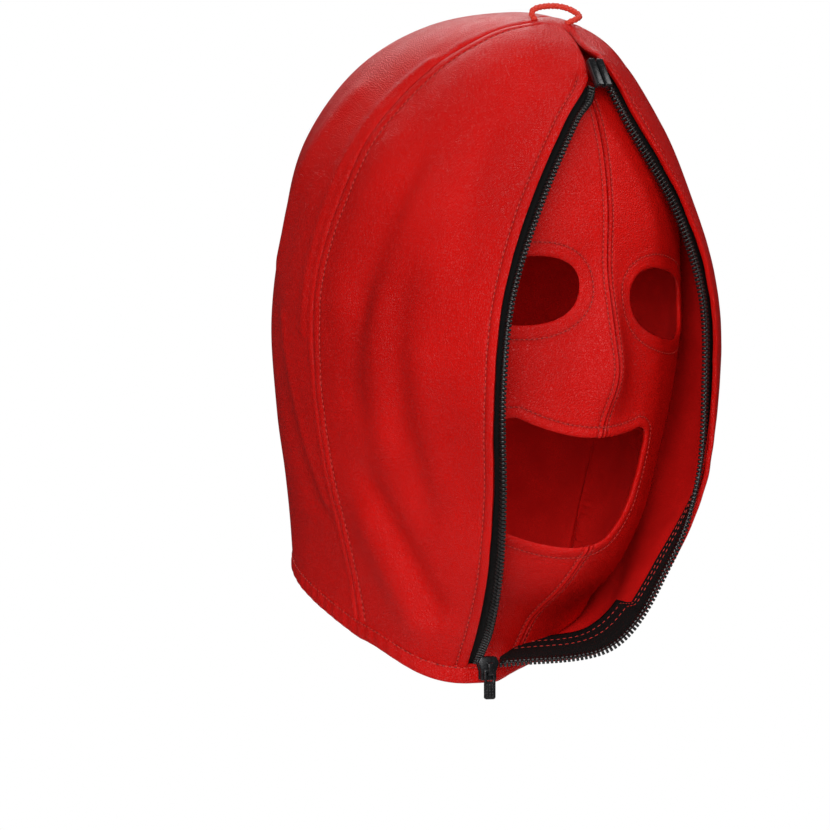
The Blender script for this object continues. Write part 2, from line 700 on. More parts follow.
def spaced_shares(trace, first, last, count, band, band_steps, middle_steps):
    """Shares of each row's section that lie at the planned distances, and those distances."""
    tries = np.linspace(first, last, COLUMN_TRIES)
    gone = lengths_across(trace(np.tile(tries, (count, 1))))
    wanted = plan_columns(gone[:, -1], band, band_steps, middle_steps)
    shares = np.array([np.interp(w, g, tries) for w, g in zip(wanted, gone)])
    return shares, wanted, wanted[:, -1:]


def line_across(points, distance, where):
    """The line down a panel at one distance across every row, or at a distance for each row."""
    stops = np.broadcast_to(where, len(points))
    return np.array([
        [np.interp(stop, gone, row[:, k]) for k in range(3)]
        for stop, gone, row in zip(stops, distance, points)
    ])


def hump(distance, centre, width):
    """A soft bump of height 1."""
    return np.exp(-(((distance - centre) / width) ** 2))


def soft_noise(points, size, seed):
    """Smooth noise of about -1 to 1 on a grid of points, with lumps of the given size."""
    shift = Vector([seed * part for part in NOISE_SHIFT])
    flat = points.reshape(-1, 3) / size
    return np.array([noise.noise(Vector(p) + shift) for p in flat]).reshape(points.shape[:2])


print("spacing helpers are ready")

# %% [markdown]
# ## Stitches
#
# Topstitching is what makes a leather piece look sewn. Each stitch is a short thread that dips
# into the leather at both ends, so one low ellipsoid, stamped along a line, is enough. Between
# two stitches a flat dark one stands for the shade in the needle hole. The leather under the row
# gets a groove that is deepest at every hole.

# %% Stitch helper
STITCH_PITCH = 2.5
THREAD_RADIUS = 0.30
THREAD_SHARE = 0.66            # of a stitch's step that shows as thread
THREAD_LIFT = 0.10
HOLE_SHARE = 0.44
HOLE_WALL = 0.10


def stitch_template(length, radius, wall=None):
    """A small ellipsoid mesh along z."""
    bm = bmesh.new()
    bmesh.ops.create_uvsphere(bm, u_segments=6, v_segments=4, radius=1.0)
    bmesh.ops.scale(bm, vec=(wall or radius, radius, length / 2), verts=bm.verts[:])
    mesh = bpy.data.meshes.new("stitch_template")
    bm.to_mesh(mesh)
    bm.free()
    return mesh


def stamp(bm, template, matrix):
    """Adds a copy of a small mesh to a bmesh, moved by a matrix."""
    before = len(bm.verts)
    bm.from_mesh(template)
    bm.verts.ensure_lookup_table()
    bmesh.ops.transform(bm, matrix=matrix, verts=bm.verts[before:])


def frame_matrix(place, along, outward):
    """A matrix at a place, with z along a direction and x turned outwards. Millimetres in."""
    z = Vector(along).normalized()
    x = Vector(outward)
    x = (x - z * x.dot(z)).normalized()
    turn = Matrix((x, z.cross(x), z)).transposed().to_4x4()
    return Matrix.Translation(Vector(in_frame(place))) @ turn @ Matrix.Scale(MM, 4)


def sew(bm, line, outward, pitch=STITCH_PITCH, radius=THREAD_RADIUS):
    """Stitches along a line that lies on leather, with the leather's outward directions."""
    gone = lengths_along(line)
    count = max(1, round(gone[-1] / pitch))
    step = gone[-1] / count
    thread = stitch_template(THREAD_SHARE * step, radius)
    hole = stitch_template(HOLE_SHARE * step, radius, HOLE_WALL)
    for polygon in hole.polygons:
        polygon.material_index = 1
    stops = (np.arange(2 * count) + 0.5) * step / 2
    tables = (line, unit(np.gradient(line, axis=0)), outward)
    read = [np.stack([np.interp(stops, gone, t[:, c]) for c in range(3)], axis=1) for t in tables]
    for k, (place, along, out) in enumerate(zip(*read)):
        if k % 2 == 0:
            stamp(bm, thread, frame_matrix(place + THREAD_LIFT * unit(out), along, out))
        else:
            stamp(bm, hole, frame_matrix(place, along, out))
    bpy.data.meshes.remove(thread)
    bpy.data.meshes.remove(hole)
    return count


outer_stitches = bmesh.new()
print("stitch helper is ready")

# %% [markdown]
# ## Outer panels
#
# A panel starts as a flat bmesh grid. Its vertices are moved onto the sections, and then in or
# out by a fraction of a millimetre: down into the seam, up over the seam allowance that lies
# under it, and down again where the stitches pull. Rows are about a millimetre apart, which is
# fine enough for the pull of every stitch to be real geometry. A Solidify modifier gives the
# leather its thickness, with the suede finish on the inner face, and a Bevel rounds cut edges.

# %% Leather helpers
SEWN_EDGES = {
    "side seam": dict(sink=0.95, sink_width=0.5, swell=0.30, swell_at=2.4, swell_width=1.9),
    "centre seam": dict(sink=1.1, sink_width=0.8, swell=0.3, swell_at=2.4, swell_width=1.8),
    "zip edge": dict(sink=0.25, sink_width=0.5, swell=0.28, swell_at=1.9, swell_width=1.7),
    "mask seam": dict(sink=0.9, sink_width=0.35, swell=0.5, swell_at=0.9, swell_width=0.6),
    "rim": dict(sink=0.35, sink_width=0.35, swell=0.30, swell_at=1.4, swell_width=1.1),
}
UNEVENNESS = {
    "front": dict(pucker=0.35, pucker_size=9.0, reach=14, bias=0.5, wave=0.45, wave_size=34.0),
    "back": dict(pucker=0.3, pucker_size=10.0, reach=16, bias=0.0, wave=0.5, wave_size=38.0),
    "mask": dict(pucker=0.22, pucker_size=7.0, reach=7, bias=0.0, wave=0.5, wave_size=30.0),
}
SHADES = {
    "side seam": dict(depth=0.7, width=0.4),
    "centre seam": dict(depth=0.8, width=0.7),
    "mask seam": dict(depth=0.8, width=0.5),
    "mask stitches": dict(depth=0.4, width=0.5),
    "rim stitches": dict(depth=0.45, width=0.6),
}
STITCH_GROOVE = 0.75           # half width of the groove under a row of stitches
STITCH_SWING = 0.1             # how much its depth changes from stitch to stitch
SHARP_EDGE = math.radians(55)  # edges that are sharper are rounded


def stitch_pull(away, gone):
    """Depth of the groove under a row of stitches, deepest between two stitches."""
    count = max(1, round(gone[-1] / STITCH_PITCH))
    phase = 2 * math.pi * gone * count / gone[-1]
    return (1 - STITCH_SWING + STITCH_SWING * np.cos(phase))[:, None] * hump(away, 0, STITCH_GROOVE)


def sewn_edge(kind, away):
    """Height of leather near a seam or edge: sunk into it, and swollen over what lies under it."""
    edge = SEWN_EDGES[kind]
    sunk = edge["sink"] * np.exp(-away / edge["sink_width"])
    return edge["swell"] * hump(away, edge["swell_at"], edge["swell_width"]) - sunk


def uneven(kind, points, near, calm, seed):
    """Height of the puckers near sewn rows, and of broad waves where the leather is calm."""
    form = UNEVENNESS[kind]
    puckers = form["pucker"] * near * (form["bias"] + soft_noise(points, form["pucker_size"], seed))
    return puckers + form["wave"] * calm * soft_noise(points, form["wave_size"], seed + 1)


def shade(kind, away):
    """Painted depth in a seam or under a row of stitches."""
    return SHADES[kind]["depth"] * hump(away, 0, SHADES[kind]["width"])


def vert_values(bm, points, values):
    """For each vertex, the value at the grid point that it was made from."""
    tree = search_tree(in_frame(points).reshape(-1, 3))
    flat = values.reshape(-1)
    return {vert: float(flat[tree.find(vert.co)[1]]) for vert in bm.verts}


def groove_layer(bm, points, depth):
    """Paints how deep the leather is pulled in, for the finish to darken."""
    layer = bm.verts.layers.float.new("groove")
    for vert, value in vert_values(bm, points, depth).items():
        vert[layer] = value


def finish_panel(name, bm, node, thickness, leather, edge=0.45):
    """Gives a panel its wall, with suede on the inner face, and rounds its cut edges."""
    piece = new_piece(name, bm, leather, suede)
    wall = piece.modifiers.new("wall", "SOLIDIFY")
    wall.thickness = thickness * MM
    wall.offset = -1
    wall.use_even_offset = False
    wall.material_offset = 1
    rounding = piece.modifiers.new("rounded edges", "BEVEL")
    rounding.width = edge * MM
    rounding.segments = 2
    rounding.limit_method = "ANGLE"
    rounding.angle_limit = SHARP_EDGE
    rounding.harden_normals = False
    dress(piece, node)


print("leather helpers are ready")

# %% [markdown]
# The two front panels differ only in their sections and folds, so one function sews both. Along
# the zip the edge is folded under and stitched, and above the zip's top the two edges meet in a
# seam. The back panel has a seam on each side and no stitches of its own.

# %% Sew the outer panels
PANEL_ROWS = 300
BAND = 9.0                     # width of the closely spaced columns along a seam or edge
BAND_STEPS = 16
FRONT_STEPS = 62               # columns between the two bands of a front panel
BACK_STEPS = 112
SEAM_STITCH = 5.2              # from the side seam to its row of topstitches
SEAM_PULL = 0.6                # depth of the groove under them
SEAM_START = 6                 # rows at the peak that are too narrow for stitches
EDGE_STITCH = 4.6              # from the zip edge to its row of topstitches
EDGE_PULL = 0.5
EDGE_START_ROW = ZIP_TOP_ROW - 0.1
SEAM_OPENS = (ZIP_TOP_ROW - 0.25, 0.2)  # row at which the centre seam opens, and rows it takes
STITCH_SHADE = 0.5
HEAD_MIDDLE = (0, 0, 0)
panel_rows = np.linspace(PANEL_TOP_ROW, HEM_ROW, PANEL_ROWS)


def front_panel(name, seed):
    """Sews a front panel, and gives the places on its outer face with their normals."""
    side = SIDES[name]

    def trace(s):
        return front_points(side, s, panel_rows)

    s, across, length = spaced_shares(trace, 0, 1, PANEL_ROWS, BAND, BAND_STEPS, FRONT_STEPS)
    points = trace(s)
    from_edge = length - across
    edge_row = length[:, 0] - EDGE_STITCH
    open_zip = np.clip((panel_rows - SEAM_OPENS[0]) / SEAM_OPENS[1], 0, 1)[:, None]
    seam_pull = stitch_pull(across - SEAM_STITCH, lengths_along(line_across(points, across, SEAM_STITCH)))
    edge_pull = stitch_pull(from_edge - EDGE_STITCH, lengths_along(line_across(points, across, edge_row)))
    by_edge = open_zip * np.exp(-from_edge / UNEVENNESS["front"]["reach"])
    by_seam = np.exp(-across / UNEVENNESS["front"]["reach"])
    height = fold_height(FOLDS[name], s, panel_rows)
    height = height + sewn_edge("side seam", across) - SEAM_PULL * seam_pull
    height = height + (1 - open_zip) * sewn_edge("centre seam", from_edge)
    height = height + open_zip * (sewn_edge("zip edge", from_edge) - EDGE_PULL * edge_pull)
    height = height + uneven("front", points, by_edge + by_seam, 1 - by_edge, seed)
    shaped = points + surface_normals(points) * height[..., None]
    depth = shade("side seam", across) + (1 - open_zip) * shade("centre seam", from_edge)
    depth = depth + STITCH_SHADE * (seam_pull + open_zip * edge_pull)
    bm = shaped_grid(shaped, inside=HEAD_MIDDLE)
    groove_layer(bm, shaped, np.clip(depth, 0, 1))
    normals = surface_normals(shaped)
    sewn_rows = ((SEAM_STITCH, slice(SEAM_START, None)), (edge_row, panel_rows > EDGE_START_ROW))
    for where, sewn in sewn_rows:
        line, outward = (line_across(values, across, where)[sewn] for values in (shaped, normals))
        sew(outer_stitches, line, outward)
    finish_panel("panel_front_" + name, bm, "outer_front_" + name, OUTER_LEATHER, outer_leather)
    return shaped, normals


def back_panel(seed):
    """Sews the back panel."""

    def trace(s):
        return back_points(s, panel_rows)

    s, across, length = spaced_shares(trace, -1, 1, PANEL_ROWS, BAND, BAND_STEPS, BACK_STEPS)
    points = trace(s)
    away = np.minimum(across, length - across)
    height = fold_height(FOLDS["back"], s, panel_rows) + sewn_edge("side seam", away)
    height = height + uneven("back", points, np.exp(-away / UNEVENNESS["back"]["reach"]), 1, seed)
    shaped = points + surface_normals(points) * height[..., None]
    bm = shaped_grid(shaped, inside=HEAD_MIDDLE)
    groove_layer(bm, shaped, shade("side seam", away))
    finish_panel("panel_back", bm, "outer_back", OUTER_LEATHER, outer_leather)


front_surfaces = {"right": front_panel("right", 1), "left": front_panel("left", 4)}
back_panel(7)

# %% [markdown]
# Under each seam lies the seam allowance, two raw edges pressed to one side. Only a hint of it
# shows at the bottom of the groove, so a thin cord of leather along the seam stands for it.

# %% Lay the seam allowances
WELT_RADIUS = 1.0
WELT_DEPTH = 1.9
WELT_STEPS = 160
WELT_SIDES = 8


def seam_outward(side, rows, along):
    """The outward direction along a side seam."""
    outward = unit(np.cross(leave_seam(side, rows), along))
    return outward * np.sign(outward[:, :1] * side["sign"])


welt_bm = bmesh.new()
for side in SIDES.values():
    rows = np.linspace(PANEL_TOP_ROW, HEM_ROW, WELT_STEPS)
    seam = side["seam"](rows)
    outward = seam_outward(side, rows, unit(np.gradient(seam, axis=0)))
    add_bmesh(welt_bm, closed_tube(seam - outward * WELT_DEPTH, WELT_RADIUS, WELT_SIDES))
seam_welts = new_piece("seam_welts", welt_bm, outer_leather)
dress(seam_welts)

# %% [markdown]
# Under the peak, where the panel tips meet, a small round patch of leather holds the two ends of
# the cord loop and bulges up a little between the tips. A flattened sphere is enough for it.

# %% Patch the peak
PEAK_PATCH = dict(at=(0, -54.5, 111), radius=11, half_wall=4.4, slope=18.5)
patch_bm = bmesh.new()
bmesh.ops.create_uvsphere(patch_bm, u_segments=32, v_segments=12, radius=PEAK_PATCH["radius"])
flatness = PEAK_PATCH["half_wall"] / PEAK_PATCH["radius"]
bmesh.ops.scale(patch_bm, vec=(1, 1, flatness), verts=patch_bm.verts[:])
set_in_place(patch_bm, PEAK_PATCH["at"], Matrix.Rotation(math.radians(PEAK_PATCH["slope"]), 4, "X"))
peak_patch = new_piece("peak_patch", patch_bm, outer_leather)
dress(peak_patch)

# %% [markdown]
# ## Face mask
#
# The inner mask is two halves of a softer leather, sewn together down the middle of the face and
# caught into the side seams of the outer hood. Its centre line is a table of hand-set points, and
# its forms are a few broad swellings for nose, brows and chin. The openings are outlines in the
# upright front plane, tipped a few degrees with the head, as they would be marked on a pattern.

# %% Mask tables
MASK_LINE = [
    dict(row=1.1, at=(0, -52, 104), square=2.0),
    dict(row=1.9, at=(0, -67, 97), square=2.05),
    dict(row=2.7, at=(1, -77.5, 84), square=2.1),
    dict(row=3.5, at=(2, -85.5, 64), square=2.2),
    dict(row=4.4, at=(2, -90, 36), square=2.35),
    dict(row=5.2, at=(2, -88, 6), square=2.45),
    dict(row=6.0, at=(2, -87, -28), square=2.4),
    dict(row=6.8, at=(1, -85, -60), square=2.25),
    dict(row=7.6, at=(-1, -82, -92), square=2.1),
    dict(row=8.3, at=(-4, -70, -114), square=2.0),
    dict(row=9.0, at=(-7, -49, -131), square=2.0),
    dict(row=9.5, at=(-9, -41, -144), square=2.0),
    dict(row=9.7, at=(-10.3, -37.2, -150), square=1.9),
]
MASK_RELIEF = [
    dict(x=2, z=-31, spread_x=10, spread_z=16, height=10),
    dict(x=2, z=-8, spread_x=8, spread_z=18, height=5),
    dict(x=-28, z=2, spread_x=15, spread_z=13, height=-4),
    dict(x=32, z=2, spread_x=15, spread_z=13, height=-4),
    dict(x=0, z=-100, spread_x=20, spread_z=12, height=3),
]
LEAN = math.radians(4.5)
MASK_MIDDLE = 2
EYE = dict(x=34.2, z=1, half_width=21.4, half_height=14, square=2.3, droop=2.2)
MOUTH = dict(
    x=-4, top=-53, sag=9, corner=-50, half_top=33.5, bulge=1, jaw=-81, half_jaw=(36, 31.5),
    bottom=-101, half_bottom=(26, 16), rounding=5,
)
MASK_CLEARANCE = OUTER_LEATHER + 2.5 * GAP + 0.6  # from a panel's outer face in to the mask
FREE_SHARES = (0.70, 0.80)     # past these shares the mask stands free in the opening
OPENINGS_IN_FRONT_OF = -40     # the outlines cut only what lies in front of this plane
EYE_POINTS = 320
BEND_POINTS = 80               # on each curve of the mouth's outline


def to_plane(points):
    """Front-plane places of points, in the head's own upright."""
    x, z = points[..., 0] - MASK_MIDDLE, points[..., 2]
    across = x * math.cos(LEAN) - z * math.sin(LEAN)
    upright = x * math.sin(LEAN) + z * math.cos(LEAN)
    return np.stack([across, upright], axis=-1)


def from_plane(places, y):
    """Points at front-plane places, at a depth y."""
    x = places[..., 0] * math.cos(LEAN) + places[..., 1] * math.sin(LEAN) + MASK_MIDDLE
    z = places[..., 1] * math.cos(LEAN) - places[..., 0] * math.sin(LEAN)
    return np.stack([x, np.broadcast_to(y, x.shape), z], axis=-1)


def eye_outline(sign):
    angle = np.linspace(0, 2 * math.pi, EYE_POINTS, endpoint=False)
    across, up = np.cos(angle), np.sin(angle)
    reach = (np.abs(across) ** EYE["square"] + np.abs(up) ** EYE["square"]) ** (-1 / EYE["square"])
    x = sign * EYE["x"] + EYE["half_width"] * across * reach
    z = EYE["z"] + EYE["half_height"] * up * reach - EYE["droop"] * sign * across * reach
    return np.stack([x, z], axis=1)


def mouth_outline():
    top, corner, r = MOUTH["top"] - MOUTH["sag"], MOUTH["corner"], MOUTH["rounding"]
    half, wide = MOUTH["half_top"], MOUTH["half_top"] + MOUTH["bulge"]
    (low_right, low_left), (jaw_right, jaw_left) = MOUTH["half_bottom"], MOUTH["half_jaw"]
    bends = [
        ((-half + r, corner), (0, top), (half - r, corner)),
        ((half - r, corner), (wide, corner), (half, corner - r)),
        ((half, corner - r), (jaw_left, MOUTH["jaw"]), (low_left, MOUTH["bottom"] + r)),
        ((low_left, MOUTH["bottom"] + r), (0, MOUTH["bottom"] - r), (-low_right, MOUTH["bottom"] + r)),
        ((-low_right, MOUTH["bottom"] + r), (-jaw_right, MOUTH["jaw"]), (-half, corner - r)),
        ((-half, corner - r), (-wide, corner), (-half + r, corner)),
    ]
    t = np.linspace(0, 1, BEND_POINTS, endpoint=False)[:, None]
    curves = [
        (1 - t) ** 2 * first + 2 * t * (1 - t) * bend + t**2 * last
        for first, bend, last in np.array(bends)
    ]
    return np.vstack(curves) + (MOUTH["x"], 0)


openings = {"right": eye_outline(-1), "left": eye_outline(1), "mouth": mouth_outline()}
print("openings:", ", ".join(openings))

# %% [markdown]
# Holes in a grid leave a staircase, so the grid is fitted to each outline first. Wherever a grid
# edge crosses an outline, its nearer end slides onto it, and the faces left inside are deleted.
# The rim then gets the look of a turned and stitched edge: the leather lies double for a few
# millimetres round the opening, rolls over at the edge, and dips under the stitches.

# %% Opening helpers
RIM = dict(double=0.45, past_stitch=0.2, fade=1.6, groove=0.42, groove_width=0.7)


def signed_distance(places, outline):
    """Distance of places to a closed outline, negative inside, with the nearest outline points."""
    flat = places.reshape(-1, 2)
    tree = search_tree([(x, z, 0) for x, z in outline])
    found = [tree.find((x, z, 0)) for x, z in flat]
    nearest = np.array([outline[index] for _, index, _ in found]).reshape(places.shape)
    distance = np.array([away for _, _, away in found])
    inside = np.zeros(len(flat), bool)
    for (x0, z0), (x1, z1) in zip(outline, np.roll(outline, -1, axis=0)):
        crosses = (z0 > flat[:, 1]) != (z1 > flat[:, 1])
        with np.errstate(divide="ignore", invalid="ignore"):
            meet = x0 + (flat[:, 1] - z0) * (x1 - x0) / (z1 - z0)
        inside ^= crosses & (flat[:, 0] < meet)
    return np.where(inside, -distance, distance).reshape(places.shape[:2]), nearest


def fit_to_outline(places, away, nearest, allowed):
    """Slides the nearer end of each grid edge that crosses an outline onto that outline."""
    moved = np.zeros(away.shape, bool)
    away = np.where(allowed, away, np.abs(away) + 1.0)
    while True:
        snap = np.zeros(away.shape, bool)
        for axis in (0, 1):
            first = [slice(None)] * 2
            second = [slice(None)] * 2
            first[axis], second[axis] = slice(None, -1), slice(1, None)
            a, b = away[tuple(first)], away[tuple(second)]
            crossing = a * b < 0
            nearer = np.abs(a) <= np.abs(b)
            snap[tuple(first)] |= crossing & nearer
            snap[tuple(second)] |= crossing & ~nearer
        if not snap.any():
            return places, away, moved
        places = np.where(snap[..., None], nearest, places)
        away = np.where(snap, 0.0, away)
        moved |= snap


def rim_shape(away, stitch):
    """Height of a turned and stitched rim at a distance from the opening."""
    faded = np.clip((away - stitch - RIM["past_stitch"]) / RIM["fade"], 0, 1)
    groove = RIM["groove"] * hump(away, stitch, RIM["groove_width"])
    return RIM["double"] * (1 - faded**2) + sewn_edge("rim", away) - groove


print("opening helpers are ready")

# %% [markdown]
# A half of the mask runs from its side seam round to the centre seam. It has to lie inside the
# front panel that covers it, so every point that is too close to that panel is moved in. Grid
# points that slide onto an opening's outline are dropped back onto the leather.

# %% Mask surface helpers
MASK_ROWS = 330
MASK_COLUMNS = (15, 91, 15)    # on the side, on the face and in the band by the centre seam
FACE_WIDTH = 74                # from the centre seam, the part of a half with fine columns
FACE_LIMIT = 0.8               # of a row's length that the face may take
CENTRE_BAND = 6
LINE_STEPS = 400
NUDGE = 0.02                   # of a row or section, to find a direction
IN_FRONT_OF_ALL = -250.0       # a plane from which places are dropped back onto the mask
STRAIGHT_BACK = Vector((0, 1, 0))
mask_line_at = smooth_column([row["at"] for row in MASK_LINE])
mask_row_at = number_column([row["row"] for row in MASK_LINE])
mask_square_at = number_column([row["square"] for row in MASK_LINE])
line_steps = np.linspace(0, len(MASK_LINE) - 1, LINE_STEPS)
mask_lengths = lengths_along(mask_line_at(line_steps))
mask_steps = np.interp(np.linspace(0, mask_lengths[-1], MASK_ROWS), mask_lengths, line_steps)


def relief_at(points):
    """Height of the mask's swellings at each point."""
    total = 0
    for form in MASK_RELIEF:
        across = (points[..., 0] - form["x"]) / form["spread_x"]
        up = (points[..., 2] - form["z"]) / form["spread_z"]
        total = total + form["height"] * np.exp(-across * across - up * up)
    return total


def mask_points(side, share):
    """Places on a mask half, one line of shares from side seam to centre for each step."""
    rows = mask_row_at(mask_steps)
    seam = side["seam"](rows)
    along = side["seam"](rows + NUDGE) - side["seam"](rows - NUDGE)
    seam = seam - seam_outward(side, rows, along) * (OUTER_LEATHER + GAP)
    middle = np.broadcast_to(mask_line_at(mask_steps)[:, None], (*share.shape, 3))
    points = bend_to_middle(seam[:, None], middle, share, mask_square_at(mask_steps)[:, None])
    points[..., 1] -= relief_at(points) * share
    return points


def mask_columns(side):
    """Shares across a mask half, the distances gone there, and each row's length."""
    tries = np.linspace(0, 1, COLUMN_TRIES)
    gone = lengths_across(mask_points(side, np.tile(tries, (MASK_ROWS, 1))))
    length = gone[:, -1:]
    face = np.minimum(FACE_WIDTH, FACE_LIMIT * length)
    on_side, on_face, in_band = (np.linspace(0, 1, columns) for columns in MASK_COLUMNS)
    wanted = np.hstack([
        (length - face) * on_side[:-1],
        length - face + (face - CENTRE_BAND) * on_face[:-1],
        length - CENTRE_BAND * in_band[::-1],
    ])
    return np.array([np.interp(w, g, tries) for w, g in zip(wanted, gone)]), wanted, length


def keep_inside(points, share, surface, normals):
    """Moves what lies under a front panel in, until it clears the panel's wall."""
    samples, directions = surface[::4, ::3].reshape(-1, 3), normals[::4, ::3].reshape(-1, 3)
    tree = search_tree(samples)
    nearest = np.array([tree.find(point)[1] for point in points.reshape(-1, 3)]).reshape(share.shape)
    depth = np.sum((samples[nearest] - points) * directions[nearest], axis=-1)
    under = np.clip((FREE_SHARES[1] - share) / (FREE_SHARES[1] - FREE_SHARES[0]), 0, 1)
    missing = np.maximum(MASK_CLEARANCE - depth, 0) * under
    return points - directions[nearest] * missing[..., None]


def slide_to_openings(points, name):
    """Slides points onto the outlines that they border, and gives the distances to both outlines."""
    base = BVHTree.FromBMesh(shaped_grid(points))
    places = to_plane(points)
    allowed = points[..., 1] < OPENINGS_IN_FRONT_OF
    moved = np.zeros(allowed.shape, bool)
    distances = []
    for opening in (name, "mouth"):
        away, nearest = signed_distance(places, openings[opening])
        places, away, slid = fit_to_outline(places, away, nearest, allowed)
        distances.append(away)
        moved |= slid
    for j, i in np.argwhere(moved):
        start = Vector(in_frame(from_plane(places[j, i], IN_FRONT_OF_ALL)))
        hit = base.ray_cast(start, STRAIGHT_BACK)[0]
        if hit is None:
            hit = base.find_nearest(Vector(in_frame(from_plane(places[j, i], points[j, i, 1]))))[0]
        points[j, i] = from_frame(hit)
    return distances


def cut_openings(bm, points, away):
    """Deletes the faces that lie inside an opening."""
    level = vert_values(bm, points, away)
    on_outline = [vert for vert in bm.verts if level[vert] == 0.0]
    bmesh.ops.connect_verts(bm, verts=on_outline)
    inner = [face for face in bm.faces if all(level[v] <= 0 for v in face.verts)]
    bmesh.ops.delete(bm, geom=inner, context="FACES")
    loose = [vert for vert in bm.verts if not vert.link_faces]
    bmesh.ops.delete(bm, geom=loose, context="VERTS")
    bm.normal_update()


print("rows on the mask:", MASK_ROWS)

# %% [markdown]
# With the surface known, each half gets its fine shape: double leather round the openings, a
# pressed centre seam with a row of stitches on each side, and soft puckers near the edges.

# %% Sew the mask
EYE_STITCH = 5.6               # from an eye hole's edge to its row of stitches
MOUTH_STITCH = 4.3
CENTRE_STITCH = 2.3            # from the centre seam to the row on each side of it
CENTRE_GROOVE = dict(depth=0.28, width=0.55)
EVERYWHERE = 0.4               # share of the puckers that is found far from an edge too
MASK_PITCH = 2.1
MASK_THREAD = 0.24
MOUTH_MARGIN = 1.5             # the centre stitches stop this far from the mouth
FEWEST_ROWS = 4                # a shorter run of the centre seam gets no stitches
mask_stitches = bmesh.new()
mask_surfaces = {}


def mask_half(name, seed):
    """Shapes, cuts, sews and finishes one half of the mask."""
    share, across, length = mask_columns(SIDES[name])
    points = keep_inside(mask_points(SIDES[name], share), share, *front_surfaces[name])
    normals = surface_normals(points)
    eye, mouth = slide_to_openings(points, name)
    centre = length - across
    height = rim_shape(np.maximum(eye, 0), EYE_STITCH) + rim_shape(np.maximum(mouth, 0), MOUTH_STITCH)
    height = height + sewn_edge("mask seam", centre)
    height = height - CENTRE_GROOVE["depth"] * hump(centre, CENTRE_STITCH, CENTRE_GROOVE["width"])
    edges = np.exp(-np.maximum(np.minimum(eye, mouth), 0) / UNEVENNESS["mask"]["reach"])
    height = height + uneven("mask", points, EVERYWHERE + edges, 1, seed)
    shaped = points + normals * height[..., None]
    bm = shaped_grid(shaped, inside=HEAD_MIDDLE)
    depth = shade("mask seam", centre) + shade("mask stitches", centre - CENTRE_STITCH)
    depth = depth + shade("rim stitches", eye - EYE_STITCH) + shade("rim stitches", mouth - MOUTH_STITCH)
    groove_layer(bm, shaped, np.clip(depth, 0, 1))
    cut_openings(bm, shaped, np.minimum(eye, mouth))
    mask_surfaces[name] = BVHTree.FromBMesh(bm)
    stitch_row = length[:, 0] - CENTRE_STITCH
    line, outward = (line_across(values, across, stitch_row) for values in (shaped, normals))
    clear = signed_distance(to_plane(line)[None], openings["mouth"])[0][0] > MOUTH_MARGIN
    for run in np.split(np.arange(MASK_ROWS), np.flatnonzero(np.diff(clear.astype(int))) + 1):
        if clear[run[0]] and len(run) > FEWEST_ROWS:
            sew(mask_stitches, line[run], outward[run], MASK_PITCH, MASK_THREAD)
    finish_panel("mask_" + name, bm, "mask_" + name, MASK_LEATHER - 0.1, mask_leather, 0.5)


mask_half("right", 11)
mask_half("left", 14)

# %% [markdown]
# The rows of stitches round the openings follow outlines a few millimetres wider than the holes.
# Each place on such an outline is dropped straight back onto the mask to find the leather.

# %% Sew round the openings


def wider_outline(outline, distance):
    """An outline moved out by a distance."""
    along = unit(np.roll(outline, -1, axis=0) - np.roll(outline, 1, axis=0))
    out = np.stack([along[:, 1], -along[:, 0]], axis=1)
    turning = np.sum(outline[:, 0] * np.roll(outline[:, 1], -1) - outline[:, 1] * np.roll(outline[:, 0], -1))
    return outline + out * distance * np.sign(turning)


def drop_on_mask(places):
    """Places and outward directions on the mask behind front-plane places."""
    line, outward = [], []
    for start in in_frame(from_plane(places, IN_FRONT_OF_ALL)):
        hits = [surface.ray_cast(Vector(start), STRAIGHT_BACK) for surface in mask_surfaces.values()]
        hits = [hit for hit in hits if hit[0] is not None and hit[0].y < OPENINGS_IN_FRONT_OF * MM]
        if hits:
            place, normal = min(hits, key=lambda hit: hit[3])[:2]
            line.append(from_frame(place))
            outward.append(np.array(normal))
    return np.array(line), np.array(outward)


for opening, distance in (("right", EYE_STITCH), ("left", EYE_STITCH), ("mouth", MOUTH_STITCH)):
    ring = wider_outline(openings[opening], distance)
    line, outward = drop_on_mask(np.vstack([ring, ring[:1]]))
    stitches = sew(mask_stitches, line, outward, MASK_PITCH, MASK_THREAD)
    print("stitches round", opening, stitches)
mask_topstitching = new_piece("topstitching_mask", mask_stitches, red_thread, needle_hole)
dress(mask_topstitching)

# %% [markdown]
# ## Neck hem
#
# The lower edges of all the panels are closed in one folded band. Its section is a flat rounded
# loop, swept once round the neck. The band gathers slightly where it is sewn on, so its outer
# face has shallow puckers, and its topstitching runs close under the upper fold.

# %% Bind the neck hem
HEM_HALF_WALL = 1.45
HEM_HALF_HEIGHT = 4.1
HEM_DROP = 2.9                 # from the panels' lower edge to the middle of the band
HEM_INSET = 0.95               # from the panels' outer face in to the middle of the band
HEM_SQUARE = 3.4
HEM_SIDES = 32                 # faces round the band's section
HEM_STITCH = 2.4               # stitches above the middle of the band
HEM_GROOVE = dict(depth=0.42, width=0.55)
HEM_PUCKERS = [dict(length=7, height=0.16, shift=0), dict(length=19, height=0.10, shift=1)]
HEM_STEP = 0.9
HEM_EASING = 12                # passes that soften the corners of the neck line


def hem_path():
    """The lower edge of all the panels, once round the neck."""
    hem = np.array([float(HEM_ROW)])
    shares = np.linspace(0, 1, 200)
    right = front_points(SIDES["right"], shares[None], hem)[0]
    left = front_points(SIDES["left"], shares[None, ::-1], hem)[0]
    nape = back_points(np.linspace(1, -1, 400)[None], hem)[0]
    loop = np.vstack([right, left[1:], nape[1:]])
    return walk(loop, HEM_STEP)


